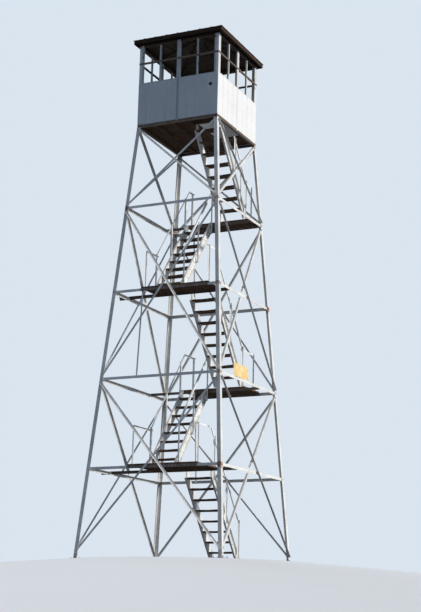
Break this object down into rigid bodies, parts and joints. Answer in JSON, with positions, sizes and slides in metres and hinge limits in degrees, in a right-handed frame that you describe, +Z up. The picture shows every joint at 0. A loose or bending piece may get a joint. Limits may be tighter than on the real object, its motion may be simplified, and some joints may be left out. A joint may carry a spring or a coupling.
{
  "type": "fire lookout tower",
  "caption": "Fire lookout tower: a battered steel angle frame with crossed braces, a zigzag stair with landings, and a small windowed cab under a low pyramid roof.",
  "frame": {"origin": "centre of the base, at the underside of the feet", "axes": "+Z up, -Y towards the front side, +X to the right seen from the front"},
  "size_m": [3.84, 3.84, 12.968],
  "materials": {
    "galvanised_angle": "dull weathered galvanising",
    "galvanised_brace": "dull weathered galvanising with rust at the ends",
    "foot_steel": "weathered galvanising with rust",
    "tread_timber": "rough weathered boards",
    "eave_timber": "dark weathered timber",
    "wall_sheet": "matt pale paint over sheet metal",
    "window_timber": "worn pale paint over timber",
    "roof_sheet": "weathered sheet metal with rust at the edge",
    "sign_paint": "faded yellow paint, bare of words"
  },
  "bodies": {
    "root": {"leg_front_left": "galvanised_angle", "leg_front_right": "galvanised_angle", "leg_back_right": "galvanised_angle", "leg_back_left": "galvanised_angle", "foot_shoes": "foot_steel", "front_girts": "galvanised_angle", "right_girts": "galvanised_angle", "back_girts": "galvanised_angle", "left_girts": "galvanised_angle", "front_braces": "galvanised_brace", "right_braces": "galvanised_brace", "back_braces": "galvanised_brace", "left_braces": "galvanised_brace", "front_landing_decks": "tread_timber", "back_landing_decks": "tread_timber", "landing_beams": "galvanised_angle", "landing_hangers": "galvanised_angle", "flight_1_stringers": "galvanised_angle", "flight_2_stringers": "galvanised_angle", "flight_3_stringers": "galvanised_angle", "flight_4_stringers": "galvanised_angle", "flight_5_stringers": "galvanised_angle", "flight_1_treads": "tread_timber", "flight_2_treads": "tread_timber", "flight_3_treads": "tread_timber", "flight_4_treads": "tread_timber", "flight_5_treads": "tread_timber", "stair_rails": "galvanised_angle", "sign_plate": "sign_paint", "cab_sill_frame": "galvanised_angle", "cab_floor_joists": "tread_timber", "cab_floor_boards": "tread_timber", "cab_posts": "galvanised_angle", "front_wall_sheets": "wall_sheet", "right_wall_sheets": "wall_sheet", "back_wall_sheets": "wall_sheet", "left_wall_sheets": "wall_sheet", "front_window_frame": "window_timber", "right_window_frame": "window_timber", "back_window_frame": "window_timber", "left_window_frame": "window_timber", "eave_timbers": "eave_timber", "roof_rafters": "eave_timber", "roof_boards": "eave_timber", "roof_sheets": "roof_sheet"}
  },
  "joints": []
}
